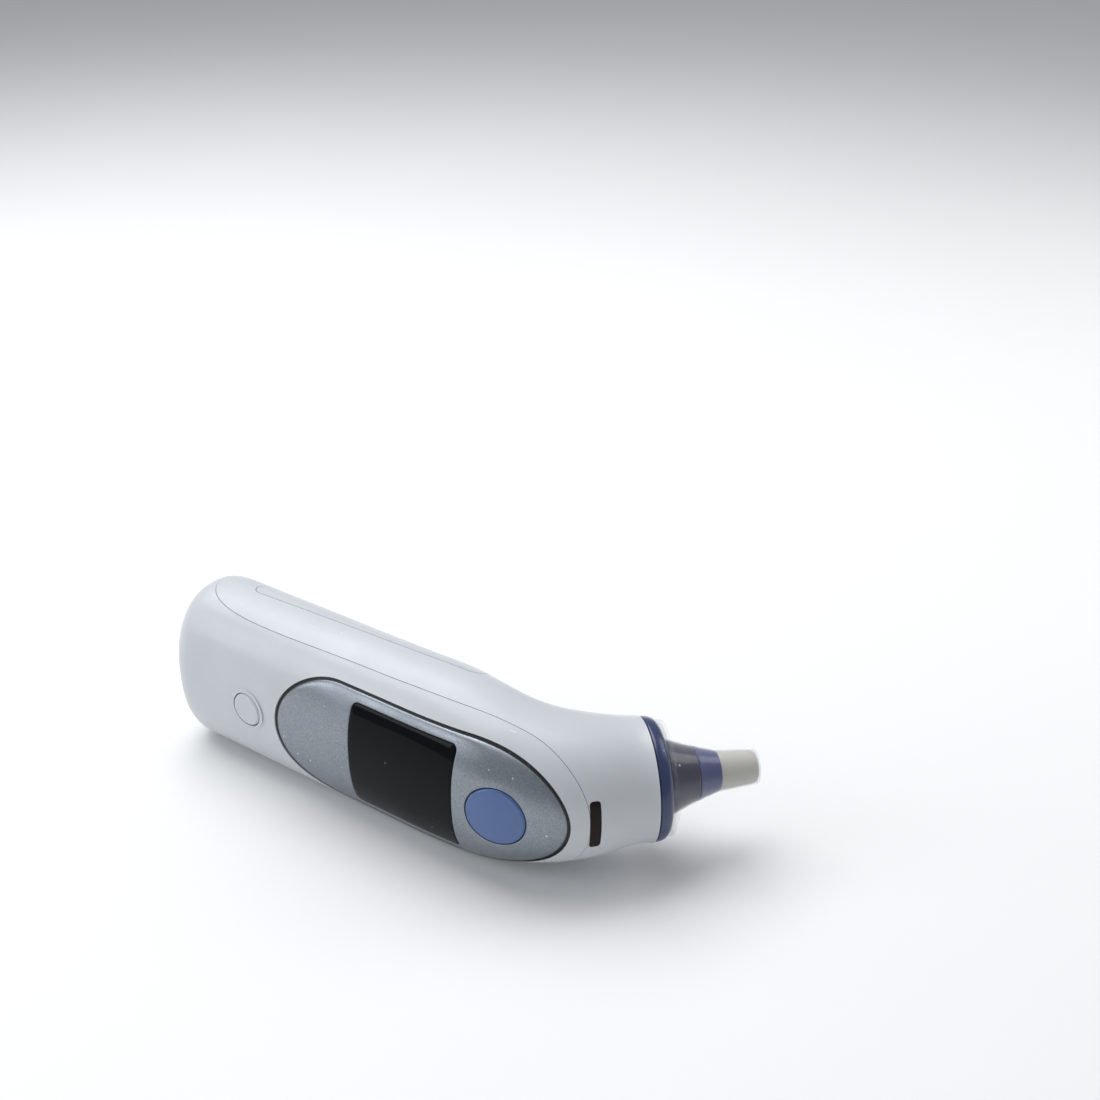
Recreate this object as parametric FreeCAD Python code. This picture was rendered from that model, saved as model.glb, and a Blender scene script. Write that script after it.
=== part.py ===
import FreeCAD, Part
import functools
import math
import os

from FreeCAD import Vector

# Ear thermometer. While it is being built, +X runs along the handle from its bottom end towards the
# head, +Y runs from the display side to the back, +Z is sideways and 0 is the plane of symmetry.
# At the end everything shifts so that the origin is under the middle of the box around the whole
# device, which lies on its side on a narrow flat land. Millimetres.

# Handle
HALF_DEPTH = 16.5        # display side to back, halved
HALF_WIDTH = 22.3        # side to side, halved
SECTION_POWER = 2.35     # a section is a superellipse: 2 would be an ellipse
HANDLE = [(16, 16.5), (30, 16.5), (46, 16.5), (62, 16.6), (77, 16.9), (89.4, 17.0)]   # x, depth to the back
END_ROUND = 14.0         # length of the domed bottom end
END_POWER = 3.2          # how blunt the dome is
END_TILT = 11.0          # the dome leans so that its back reaches further than its front
WALL = 2.2
LAND_CUT = 0.6           # how much is planed off one side to rest on

# Neck and head: x, y, tilt, depth to the front, depth to the back, half width, power
MOUTH = (132.5, 35.5)    # centre of the head's round mouth, where the ejector ring starts
PROBE_TILT = 48.0        # degrees between the handle and the probe
MOUTH_RADIUS = 15.2
MOUTH_BORE = 12.25       # radius inside the mouth, clear of the ejector ring's sleeve
MOUTH_WALL = 3.5         # thickness of the wall there before it is bored
NECK = [
    (97.5, 16.7, 3, 16.6, 15.7, 21.8, SECTION_POWER),
    (105.5, 17.6, 9, 17.3, 14.7, 20.6, SECTION_POWER),
    (113.5, 20.2, 20, 18.0, 14.7, 19.0, 2.25),
    (121.0, 24.8, 31, 18.0, 15.1, 17.4, 2.15),
    (127.0, 30.6, 40, 16.6, 15.0, 15.9, 2.05),
]

# Seams
SEAM_GAP = 0.16
DOOR_GAP = 0.2
PANEL_TO_SEAM = 1.5      # the panel's pocket stops this far short of the seam
SEAM = [(5.4, 42), (6.0, 28), (7.4, 20), (9.7, 14.6), (13.4, 11.2), (18.7, 9.4), (30, 8.3), (60, 8.8),
        (88, 9.4), (97, 10.1), (105, 11.4), (112, 12.6), (118, 13.3), (126, 12.9), (134, 12.2), (150, 11.0)]
DOOR_START, DOOR_END = 19.0, 93.0
DOOR_EDGE_START, DOOR_EDGE_END = 18.0, 21.4   # depth of the door's side edge at its two ends
DOOR_CORNER = 3.0

# Display side
PANEL_START, PANEL_END, PANEL_HALF = 44.6, 129.1, 16.5
PANEL_ROUNDS = (19.0, 26.5)   # lengths of the panel's two half-elliptical ends
PANEL_THICK = 1.6
GASKET_WIDTH = 0.8
GASKET_SINK = 0.35
LEDGE = 1.5              # how far the shell reaches under the panel
WINDOW_START, WINDOW_END, WINDOW_HALF = 69.2, 101.6, 14.4
WINDOW_THICK = 1.3
WINDOW_CORNER = 1.6
FIT_GAP = 0.12

START_X, START_RADIUS, START_PROUD, START_TRAVEL = 113.2, 7.5, 0.3, 0.8
MEMORY_X, MEMORY_RADIUS, MEMORY_PROUD, MEMORY_TRAVEL = 34.0, 4.5, 0.6, 0.6
MEMORY_COLLAR = 0.9      # width of the raised collar round the memory button
BUTTON_GAP = 0.25

LENS_AT = (133.5, 13.6)  # middle of the status light lens
LENS_SLOPE = 53.0        # degrees between the handle and the head's surface there
LENS_WIDE, LENS_LONG, LENS_CORNER = 2.7, 12.8, 0.9

# Electronics
BOARD_FRONT, BOARD_THICK, BOARD_HALF = 8.0, 1.0, 13.0
BOARD_START, BOARD_END = 27.0, 118.0
LCD_FRONT, LCD_THICK, LCD_HALF = 3.5, 1.8, 11.5
SWITCH_SIDE, SWITCH_HIGH = 6.0, 1.8
PLUNGER_RADIUS, PLUNGER_FIT, PLUNGER_PROUD = 1.6, 0.08, 1.0
STEM_RADIUS = 2.2
BUZZER_X, BUZZER_RADIUS, BUZZER_THICK = 103.5, 6.0, 3.0
FLEX_START, FLEX_THICK = 113.0, 0.25
SENSOR_BOARD_BACK = -9.2

# Batteries, two AA cells side by side
CELL_RADIUS, CELL_LONG, CELL_Z = 7.25, 50.5, 7.7
NUB_RADIUS, NUB_LONG = 2.75, 1.2
TRAY_START, TRAY_END, TRAY_WALL, TRAY_FLOOR = 26.4, 81.6, 1.2, 11.2
CONTACT_THICK, CONTACT_HALF, NUB_FIT = 0.4, 4.6, 0.05
LEAF_THICK, LEAF_HALF, LEAF_TALL = 0.3, 2.5, 3.5

# Probe, measured along its own axis from the mouth
RING_FRONT, RING_RADIUS, RING_TRAVEL = 3.6, 15.0, 3.0
GUIDE_RADIUS = 10.85     # outside of the nose's base, which the ring slides on
RING_FIT = 0.05
SLEEVE_RADIUS, SLEEVE_BACK = 11.8, -8.0
CORE_RADIUS = 9.6
WAVES, WAVE_RISE, WAVE_THICK, WAVE_RADII = 10, 0.6, 0.2, (10.4, 9.95)
NOSE = [(3.2, 9.5), (5.0, 9.2), (7.3, 8.4), (9.8, 7.4), (14.0, 6.0), (18.0, 4.85)]
BAND_START = 12.3        # from here to the tip the nose is a lighter band
TIP_END, TIP_END_RADIUS, TIP_ROUND = 27.7, 4.0, 0.8
TIP_FILM = (26.3, 26.7)  # where the window across the end of the bore is
BORE_RADIUS = 2.3
COVER_GAP, COVER_THICK = 0.12, 0.2
FLANGE_BACK, FLANGE_THICK, FLANGE_RADIUS = 4.1, 0.6, 14.0
PIN_RADIUS, PIN_OUT, PIN_TRAVEL = 0.5, 9.8, 0.4
CARRIER_FRONT, CARRIER_THICK, CARRIER_RADIUS = -10.4, 1.6, 10.4
NOSE_FLANGE = (-10.0, -8.6)   # the nose's rear flange, which the three screws hold
NOSE_SCREW_OUT, NOSE_SCREW_RADIUS, NOSE_SCREW_HOLE, NOSE_SCREW_HEAD = 9.1, 0.5, 0.55, 0.9
CAVITY_RADIUS = 6.6

# Screws
SCREW_HEAD, SCREW_CORE, SCREW_TIP = 2.5, 1.1, 4.6
BULKHEADS = [(20.0, 24.6, 11.0, 17.0), (87.6, 92.2, 11.4, 17.6)]   # x from, x to, y from, y to
SCREWS = [(22.3, 11.5), (22.3, -11.5)]   # x, z

BIG = 60.0


def vec(x, y, z=0.0):
    return Vector(x, y, z)


def box(x0, x1, y0, y1, z0, z1):
    return Part.makeBox(x1 - x0, y1 - y0, z1 - z0, vec(x0, y0, z0))


def rod(x, z, radius, y0, y1):
    """A cylinder along Y."""
    return Part.makeCylinder(radius, y1 - y0, vec(x, y0, z), vec(0, 1, 0))


def rod_x(y, z, radius, x0, x1):
    """A cylinder along X."""
    return Part.makeCylinder(radius, x1 - x0, vec(x0, y, z), vec(1, 0, 0))


def prism(edges, z0, z1):
    """A flat outline in X and Y, drawn up from z0 to z1."""
    face = Part.Face(Part.Wire(edges))
    face.translate(vec(0, 0, z0))
    return face.extrude(vec(0, 0, z1 - z0))


def polygon(points):
    closed = [vec(*p) for p in points] + [vec(*points[0])]
    return Part.makePolygon(closed).Edges


def join(shapes):
    whole = shapes[0]
    for shape in shapes[1:]:
        whole = whole.fuse(shape)
    return whole.removeSplitter()


# ---- the body as a whole --------------------------------------------------------------------------

def signed_power(value, power):
    return math.copysign(abs(value) ** power, value)


def section_wire(x, y, tilt, front, back, half, power, first=0.0, points=32):
    """A superellipse across the body, deeper on one side than on the other if asked.

    It starts at the front, or as many turns round from there as first says."""
    angle = math.radians(tilt)
    inward = vec(-math.sin(angle), math.cos(angle))
    places = []
    for i in range(points):
        turn = 2 * math.pi * (first + i / points)
        depth = signed_power(math.cos(turn), 2 / power)
        reach = front if depth > 0 else back
        across = half * signed_power(math.sin(turn), 2 / power)
        places.append(vec(x, y, across) - inward * (reach * depth))
    curve = Part.BSplineCurve()
    steps = [float(i) for i in range(points + 1)]
    curve.interpolate(Points=places, PeriodicFlag=True, Parameters=steps)
    return Part.Wire(curve.toShape())


@functools.lru_cache(maxsize=None)
def body(inset, first=0.0):
    """The whole outside of the device without the probe, moved inwards by inset.

    Its surface is joined up along the front, or as many turns round from there as first says."""
    wires = []
    long = END_ROUND - inset
    for share in (0.0003, 0.011, 0.045, 0.11, 0.21, 0.35, 0.55, 0.8):
        size = (1 - (1 - share) ** END_POWER) ** (1 / END_POWER)
        deep = (HALF_DEPTH - inset) * size
        wires.append(section_wire(inset + share * long, HALF_DEPTH, END_TILT * (1 - share), deep, deep,
                                  (HALF_WIDTH - inset) * size, 2.1 + (SECTION_POWER - 2.1) * size, first))
    for x, back in HANDLE:
        wires.append(section_wire(x, HALF_DEPTH, 0, HALF_DEPTH - inset, back - inset, HALF_WIDTH - inset,
                                  SECTION_POWER, first))
    for x, y, tilt, front, back, half, power in NECK:
        wires.append(section_wire(x, y, tilt, front - inset, back - inset, half - inset, power, first))
    mouth = MOUTH_RADIUS - inset * MOUTH_WALL / WALL
    wires.append(section_wire(*MOUTH, PROBE_TILT, mouth, mouth, mouth, 2, first))
    return Part.makeLoft(wires, True, False)


def seam_region(shift):
    """Everything on the display side of the seam between the two shells, moved back by shift."""
    curve = Part.BSplineCurve()
    curve.interpolate([vec(x, y + shift) for x, y in SEAM])
    ends = [SEAM[-1][0], SEAM[0][0]]
    start = curve.StartPoint
    end = curve.EndPoint
    rim = [end, vec(ends[0], -10), vec(-10, -10), vec(-10, start.y), start]
    lines = [Part.LineSegment(a, b).toShape() for a, b in zip(rim, rim[1:])]
    return prism([curve.toShape()] + lines, -BIG, BIG)


def door_region(grow):
    """Everything inside the battery door's outline, made larger all round by grow."""
    back = 50
    x0, x1 = DOOR_START - grow, DOOR_END + grow
    outline = [(x0, DOOR_EDGE_START - grow), (x1, DOOR_EDGE_END - grow), (x1, back), (x0, back)]
    shape = prism(polygon(outline), -BIG, BIG)
    corners = [e for e in shape.Edges if e.BoundBox.ZLength > BIG and e.BoundBox.YMax < DOOR_EDGE_END + 1]
    return shape.makeFillet(DOOR_CORNER + grow, corners)


def panel_region(grow):
    """The long oval of the display panel, through the whole depth, larger all round by grow."""
    half = PANEL_HALF + grow
    x0 = PANEL_START + PANEL_ROUNDS[0]
    x1 = PANEL_END - PANEL_ROUNDS[1]
    left = Part.Ellipse(vec(x0, 0), PANEL_ROUNDS[0] + grow, half)
    right = Part.Ellipse(vec(x1, 0), PANEL_ROUNDS[1] + grow, half)
    left = Part.ArcOfEllipse(left, math.pi / 2, 3 * math.pi / 2)
    right = Part.ArcOfEllipse(right, -math.pi / 2, math.pi / 2)
    edges = [left.toShape(), Part.LineSegment(vec(x0, -half), vec(x1, -half)).toShape(),
             right.toShape(), Part.LineSegment(vec(x1, half), vec(x0, half)).toShape()]
    return through_depth(edges)


def window_region(grow):
    half = WINDOW_HALF + grow
    x0, x1 = WINDOW_START - grow, WINDOW_END + grow
    block = box(x0, x1, -10, HALF_DEPTH, -half, half)
    corners = [e for e in block.Edges if e.BoundBox.YLength > 1]
    return block.makeFillet(WINDOW_CORNER + grow, corners)


def through_depth(edges):
    """An outline given in X and Z as x, y pairs, drawn through the display side of the body."""
    face = Part.Face(Part.Wire(edges))
    face.rotate(vec(0, 0), vec(1, 0), 90)
    face.translate(vec(0, -10))
    return face.extrude(vec(0, HALF_DEPTH + 10))


def skin(outer_inset, inner_inset):
    """A layer of the body between two depths below its surface."""
    return body(outer_inset).cut(body(inner_inset))


def lens_region(grow):
    """A slot across the head, square to its surface."""
    wide = LENS_WIDE / 2 + grow
    tall = LENS_LONG / 2 + grow
    block = Part.makeBox(2 * wide, 12, 2 * tall, vec(-wide, -6, -tall))
    corners = [e for e in block.Edges if e.BoundBox.YLength > 1]
    block = block.makeFillet(LENS_CORNER, corners)
    block.rotate(vec(0, 0), vec(0, 0, 1), LENS_SLOPE)
    block.translate(vec(*LENS_AT))
    return block


# ---- probe frame ----------------------------------------------------------------------------------

TILT = math.radians(PROBE_TILT)
PROBE_AXIS = vec(math.cos(TILT), math.sin(TILT))
PROBE_FRONT = vec(math.sin(TILT), -math.cos(TILT))
PROBE = FreeCAD.Placement(vec(*MOUTH), FreeCAD.Rotation(vec(0, 0, 1), PROBE_FRONT, PROBE_AXIS, "ZXY"))


def on_probe(shape):
    shape.Placement = PROBE.multiply(shape.Placement)
    return shape


def turned(profile):
    """A ring or plug turned round the probe's axis. The profile holds (along, radius) pairs."""
    points = [vec(radius, 0, along) for along, radius in profile]
    face = Part.Face(Part.makePolygon(points + [points[0]]))
    return on_probe(face.revolve(vec(0, 0), vec(0, 0, 1), 360))


def turned_smooth(curve_points, inner_points):
    """The same, with a smooth curve through curve_points outside and straight lines inside."""
    curve = Part.BSplineCurve()
    curve.interpolate([vec(radius, 0, along) for along, radius in curve_points])
    corners = [vec(radius, 0, along) for along, radius in inner_points]
    inside = [curve.EndPoint] + corners + [curve.StartPoint]
    lines = [Part.LineSegment(a, b).toShape() for a, b in zip(inside, inside[1:])]
    face = Part.Face(Part.Wire([curve.toShape()] + lines))
    return on_probe(face.revolve(vec(0, 0), vec(0, 0, 1), 360))


def nose_radius(along):
    """Radius of the nose at a place on its axis, by straight steps between the named ones."""
    for (a0, r0), (a1, r1) in zip(NOSE, NOSE[1:]):
        if along <= a1:
            return r0 + (r1 - r0) * (along - a0) / (a1 - a0)
    return NOSE[-1][1]


# ---- shells ---------------------------------------------------------------------------------------

def bulkhead(x0, x1, y0, y1):
    return body(WALL - 0.4).common(box(x0, x1, y0, y1, -BIG, BIG))


def screw_boss(x, z):
    """The pillar in the front shell that a screw goes into."""
    return rod(x, z, SCREW_HEAD, 1.4, BULKHEADS[0][2] - 1.0).common(body(WALL - 0.4))


def land():
    """Everything beyond the flat side that the device rests on."""
    return box(-BIG, 4 * BIG, -BIG, 2 * BIG, -BIG, -HALF_WIDTH + LAND_CUT)


def panel_zone(grow):
    """The part of the body under the panel's outline, short of the seam."""
    return body(0).common(panel_region(grow)).common(seam_region(-PANEL_TO_SEAM))


def make_shells():
    shell = skin(0, WALL)
    shell = shell.cut(turned([(-3, 0), (-3, MOUTH_BORE), (2, MOUTH_BORE), (2, 0)]))
    shell = shell.cut(land())

    front = shell.common(seam_region(-SEAM_GAP / 2))
    front = front.cut(panel_zone(GASKET_WIDTH).cut(body(PANEL_THICK)))
    front = front.cut(window_region(-LEDGE))
    front = front.cut(rod(START_X, 0, START_RADIUS + BUTTON_GAP, -10, 12))
    collar_radius = MEMORY_RADIUS + BUTTON_GAP + MEMORY_COLLAR
    collar = body(-MEMORY_PROUD * 0.6).common(rod(MEMORY_X, 0, collar_radius, -5, 1.5))
    front = front.fuse(collar).cut(rod(MEMORY_X, 0, MEMORY_RADIUS + BUTTON_GAP, -5, 6))
    for x, z in SCREWS:
        front = front.fuse(screw_boss(x, z)).cut(rod(x, z, SCREW_CORE, SCREW_TIP - 0.4, BIG))
    front = front.cut(lens_region(0.05))

    rear = shell.cut(seam_region(SEAM_GAP / 2))
    rear = rear.cut(door_region(DOOR_GAP / 2))
    rear = rear.cut(lens_region(0))
    for x0, x1, y0, y1 in BULKHEADS:
        rear = rear.fuse(bulkhead(x0, x1, y0, y1))
    for x, z in SCREWS:
        rear = rear.cut(rod(x, z, SCREW_CORE + 0.3, 5, BULKHEADS[0][3] + 1))
    ring = body(WALL - 0.4).common(turned([(CARRIER_FRONT - CARRIER_THICK - 1.6, 0),
                                           (CARRIER_FRONT - CARRIER_THICK - 1.6, 24),
                                           (CARRIER_FRONT - CARRIER_THICK, 24),
                                           (CARRIER_FRONT - CARRIER_THICK, 0)]))
    ring = ring.cut(turned([(-20, 0), (-20, CARRIER_RADIUS - 2.6), (0, CARRIER_RADIUS - 2.6), (0, 0)]))
    ring = ring.cut(seam_region(1.0))
    rear = rear.fuse(ring)
    for hole in nose_screw_rods(NOSE_SCREW_HOLE, -15, -9):
        rear = rear.cut(hole)
    return front, rear


def make_door():
    """The battery door, with a rib inside that keeps the cells down."""
    door = skin(0, WALL).common(door_region(-DOOR_GAP / 2)).cut(land())
    rib = body(WALL - 0.3).common(box(28, 78, 27.6, 33, -0.6, 0.6))
    return join([door, rib])


# ---- display side ---------------------------------------------------------------------------------

def make_panel():
    panel = panel_zone(-FIT_GAP / 2).cut(body(PANEL_THICK))
    panel = panel.cut(window_region(FIT_GAP / 2))
    return panel.cut(rod(START_X, 0, START_RADIUS + BUTTON_GAP, -5, 14))


def make_gasket():
    ring = panel_region(GASKET_WIDTH - FIT_GAP / 2).cut(panel_region(FIT_GAP / 2))
    ring = ring.common(seam_region(-PANEL_TO_SEAM - 0.1))
    return body(GASKET_SINK).common(ring).cut(body(PANEL_THICK - 0.1))


def make_window():
    """The window and the buttons come from a body that is joined up along its back, clear of their faces."""
    return body(0.05, 0.5).common(window_region(-FIT_GAP / 2)).cut(body(WINDOW_THICK, 0.5))


def make_button(x, radius, proud, bottom):
    """A cap that follows the body's surface, and a stem down to the switch's plunger."""
    cap = body(-proud, 0.5).common(rod(x, 0, radius, -5, bottom))
    return join([cap, rod(x, 0, STEM_RADIUS, bottom - 0.2, switch_top() - PLUNGER_PROUD)])


def switch_top():
    return BOARD_FRONT - SWITCH_HIGH


def make_plunger(x):
    return rod(x, 0, PLUNGER_RADIUS, switch_top() - PLUNGER_PROUD, switch_top() + 0.6)


def make_switch(x):
    side = SWITCH_SIDE / 2
    block = box(x - side, x + side, switch_top(), BOARD_FRONT, -side, side)
    return block.cut(rod(x, 0, PLUNGER_RADIUS + PLUNGER_FIT, switch_top() - 1, BOARD_FRONT - 0.2))


def make_lens():
    return body(0.1).common(lens_region(-FIT_GAP / 2)).cut(body(WALL - 0.2))


def make_light():
    """A small light-emitting diode behind the lens, on its own stub of board."""
    chip = Part.makeBox(2.0, 1.2, 1.6, vec(-1.0, 3.0, -0.8))
    stub = Part.makeBox(3.4, 0.8, 9.0, vec(-1.7, 4.2, -4.5))
    light = join([chip, stub])
    light.rotate(vec(0, 0), vec(0, 0, 1), LENS_SLOPE)
    light.translate(vec(*LENS_AT))
    return light


# ---- inside the handle ----------------------------------------------------------------------------

def make_board():
    """The main circuit board, its far corners rounded off by the neck's inside."""
    board = box(BOARD_START, BOARD_END, BOARD_FRONT, BOARD_FRONT + BOARD_THICK, -BOARD_HALF, BOARD_HALF)
    return board.common(body(WALL + 0.6))


def make_chips():
    """Square packages, the flat cable's connector and round capacitors on the back of the board."""
    back = BOARD_FRONT + BOARD_THICK
    packages = [(93.5, -7, 7, 7, 1.4), (86, 3, 5, 5, 1.1), (110.5, -8, 4, 3, 1.0), (94, 9, 3, 5, 0.9),
                (110.5, 8, 4, 3, 1.2), (FLEX_START - 0.9, 0, 1.8, 7.2, 1.0)]
    chips = []
    for x, z, long, wide, high in packages:
        chips.append(box(x - long / 2, x + long / 2, back, back + high, z - wide / 2, z + wide / 2))
    for x, z in ((86, -3), (94, 3)):
        chips.append(rod(x, z, 1.6, back, back + 1.8))
    return Part.makeCompound(chips)


def make_lcd():
    return box(WINDOW_START + 2.4, WINDOW_END - 2.4, LCD_FRONT, LCD_FRONT + LCD_THICK, -LCD_HALF, LCD_HALF)


def make_lcd_frame():
    """The frame that holds the display module off the board."""
    back = LCD_FRONT + LCD_THICK
    block = box(WINDOW_START + 1.7, WINDOW_END - 1.7, back, BOARD_FRONT, -LCD_HALF - 0.4, LCD_HALF + 0.4)
    return block.cut(box(WINDOW_START + 4.4, WINDOW_END - 4.4, back - 1, BOARD_FRONT - 0.8,
                         -LCD_HALF + 2.4, LCD_HALF - 2.4))


def make_buzzer():
    back = BOARD_FRONT + BOARD_THICK
    disc = rod(BUZZER_X, 0, BUZZER_RADIUS, back, back + BUZZER_THICK)
    return disc.cut(rod(BUZZER_X, 0, 1.0, back + 2, back + 5))


def make_tray():
    x0, x1 = TRAY_START, TRAY_END
    side = CELL_Z + CELL_RADIUS + 0.5
    floor = TRAY_FLOOR + TRAY_WALL
    outer = box(x0 - TRAY_WALL, x1 + TRAY_WALL, TRAY_FLOOR, 22.0, -side - TRAY_WALL, side + TRAY_WALL)
    inner = box(x0, x1, floor, 30, -side, side)
    ridge = box(x0, x1, TRAY_FLOOR, floor + 1.6, -0.35, 0.35)
    return join([outer.cut(inner), ridge])


def cell_span(side):
    """Where a cell starts and ends along the handle: its nub touches the plate at its own end."""
    if side > 0:
        end = TRAY_END - CONTACT_THICK - NUB_FIT
        return end - CELL_LONG, end
    start = TRAY_START + CONTACT_THICK + NUB_FIT
    return start, start + CELL_LONG


def cell_depth():
    return TRAY_FLOOR + TRAY_WALL + 0.25 + CELL_RADIUS


def make_cell(side):
    """One cell. The left one points its nub at the head and the right one the other way."""
    depth = cell_depth()
    z = side * CELL_Z
    start, end = cell_span(side)
    if side > 0:
        can = rod_x(depth, z, CELL_RADIUS, start, end - NUB_LONG)
        nub = rod_x(depth, z, NUB_RADIUS, end - NUB_LONG, end)
    else:
        can = rod_x(depth, z, CELL_RADIUS, start + NUB_LONG, end)
        nub = rod_x(depth, z, NUB_RADIUS, start, start + NUB_LONG)
    rims = [e for e in can.Edges if e.BoundBox.XLength < 0.01]
    return join([can.makeFillet(0.5, rims), nub])


def make_contacts():
    """Four flat plates against the tray's end walls."""
    plates = []
    for side in (-1, 1):
        z = side * CELL_Z
        for a, b in ((TRAY_START, TRAY_START + CONTACT_THICK), (TRAY_END - CONTACT_THICK, TRAY_END)):
            plates.append(box(a, b, TRAY_FLOOR + TRAY_WALL + 0.4, 21.4, z - CONTACT_HALF, z + CONTACT_HALF))
    return Part.makeCompound(plates)


def make_cell_springs():
    """A folded leaf spring between the flat end of each cell and its plate."""
    depth = cell_depth()
    leaves = []
    for side in (-1, 1):
        start, end = cell_span(side)
        plate = TRAY_START + CONTACT_THICK if side > 0 else TRAY_END - CONTACT_THICK
        face = start if side > 0 else end
        way, gap = math.copysign(1, face - plate), abs(face - plate)
        outline = [(0, -LEAF_TALL), (LEAF_THICK, -LEAF_TALL), (gap, -0.6), (gap, 0.6),
                   (LEAF_THICK, LEAF_TALL), (0, LEAF_TALL), (gap - LEAF_THICK, 0)]
        points = [(plate + way * along, depth + across) for along, across in outline]
        leaves.append(prism(polygon(points), side * CELL_Z - LEAF_HALF, side * CELL_Z + LEAF_HALF))
    return Part.makeCompound(leaves)


def make_shell_screws():
    screws = []
    under = BULKHEADS[0][3]
    for x, z in SCREWS:
        head = rod(x, z, SCREW_HEAD - 0.2, under, under + 1.6)
        cross = box(x - 1.6, x + 1.6, under + 0.9, under + 2, z - 0.3, z + 0.3)
        cross = cross.fuse(box(x - 0.3, x + 0.3, under + 0.9, under + 2, z - 1.6, z + 1.6))
        screws.append(join([head.cut(cross), rod(x, z, SCREW_CORE - 0.02, SCREW_TIP, under)]))
    return Part.makeCompound(screws)


# ---- head and probe -------------------------------------------------------------------------------

def nose_screw_rods(radius, a0, a1):
    """Three rods round the probe's axis, from a0 to a1 along it."""
    rods = []
    for i in range(3):
        turn = math.radians(90 + 120 * i)
        place = vec(NOSE_SCREW_OUT * math.cos(turn), NOSE_SCREW_OUT * math.sin(turn), a0)
        rods.append(on_probe(Part.makeCylinder(radius, a1 - a0, place)))
    return rods


def make_nose_screws():
    """Each head lies in front of the nose's rear flange."""
    seat = NOSE_FLANGE[1]
    heads = nose_screw_rods(NOSE_SCREW_HEAD, seat, seat + 0.5)
    shanks = nose_screw_rods(NOSE_SCREW_RADIUS, seat - 4.8, seat)
    return Part.makeCompound([join([head, shank]) for head, shank in zip(heads, shanks)])


def make_carrier():
    back = CARRIER_FRONT - CARRIER_THICK
    disc = turned([(back, 5.2), (back, CARRIER_RADIUS),
                   (CARRIER_FRONT, CARRIER_RADIUS), (CARRIER_FRONT, 5.2)])
    for hole in nose_screw_rods(NOSE_SCREW_HOLE, -15, -9):
        disc = disc.cut(hole)
    return disc


def make_nose_gasket():
    front = CARRIER_FRONT + 0.4
    ring = turned([(CARRIER_FRONT, 7.6), (CARRIER_FRONT, CARRIER_RADIUS),
                   (front, CARRIER_RADIUS), (front, 7.6)])
    for hole in nose_screw_rods(NOSE_SCREW_HOLE, -15, -9):
        ring = ring.cut(hole)
    return ring


def nose_cavity():
    return turned([(-12, 0), (-12, CAVITY_RADIUS), (3.0, CAVITY_RADIUS), (5.6, BORE_RADIUS),
                   (30, BORE_RADIUS), (30, 0)])


def make_nose():
    back, front = NOSE_FLANGE
    flange = turned([(back, 0), (back, CARRIER_RADIUS), (front, CARRIER_RADIUS), (front, 0)])
    core = turned([(front, 0), (front, CORE_RADIUS), (-0.6, CORE_RADIUS), (-0.6, GUIDE_RADIUS),
                   (3.0, GUIDE_RADIUS), (3.2, GUIDE_RADIUS - 0.2), (3.2, 0)])
    cone_points = [(a, r) for a, r in NOSE if a < BAND_START] + [(BAND_START, nose_radius(BAND_START))]
    cone = turned_smooth(cone_points, [(BAND_START, 0), (NOSE[0][0], 0)])
    nose = join([flange, core, cone]).cut(nose_cavity())
    for hole in nose_screw_rods(NOSE_SCREW_HOLE, -15, -8):
        nose = nose.cut(hole)
    for seat in nose_screw_rods(NOSE_SCREW_HEAD + 0.2, front, front + 1):
        nose = nose.cut(seat)
    return nose.cut(pin_rod(PIN_RADIUS + 0.07, -0.5, 4))


def make_band():
    rear, front = nose_radius(BAND_START), NOSE[-1][1]
    return turned([(BAND_START, BORE_RADIUS), (BAND_START, rear), (NOSE[-1][0], front),
                   (NOSE[-1][0], BORE_RADIUS)])


def make_tip():
    start = NOSE[-1][0]
    tip = turned([(start, BORE_RADIUS), (start, NOSE[-1][1] - 0.1), (TIP_END, TIP_END_RADIUS),
                  (TIP_END, BORE_RADIUS)])
    rim = [e for e in tip.Edges if (e.BoundBox.Center - vec(*MOUTH)).dot(PROBE_AXIS) > TIP_END - 0.01
           and e.BoundBox.ZMax > BORE_RADIUS + 0.1]
    return tip.makeFillet(TIP_ROUND, rim)


def make_tip_window():
    back, front = TIP_FILM
    return turned([(back, 0), (back, BORE_RADIUS), (front, BORE_RADIUS), (front, 0)])


def make_waveguide():
    outside, front = BORE_RADIUS - 0.1, TIP_FILM[0]
    return turned([(1.8, 1.5), (1.8, outside), (front, outside), (front, 1.5)])


def make_barrel():
    """The metal block that keeps the sensor and the waveguide at one temperature."""
    outside = CAVITY_RADIUS - 0.1
    return turned([(-7.6, 4.7), (-7.6, outside), (2.6, outside),
                   (5.0, BORE_RADIUS), (1.8, BORE_RADIUS), (1.8, 4.7)])


def make_sensor_can():
    return turned([(-3.2, 0), (-3.2, 4.6), (-2.6, 4.6), (-2.6, 4.1), (1.2, 4.1), (1.2, 0)])


def make_sensor_board():
    back = SENSOR_BOARD_BACK
    return turned([(back, 0), (back, 6.2), (back + 1, 6.2), (back + 1, 0)])


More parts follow.
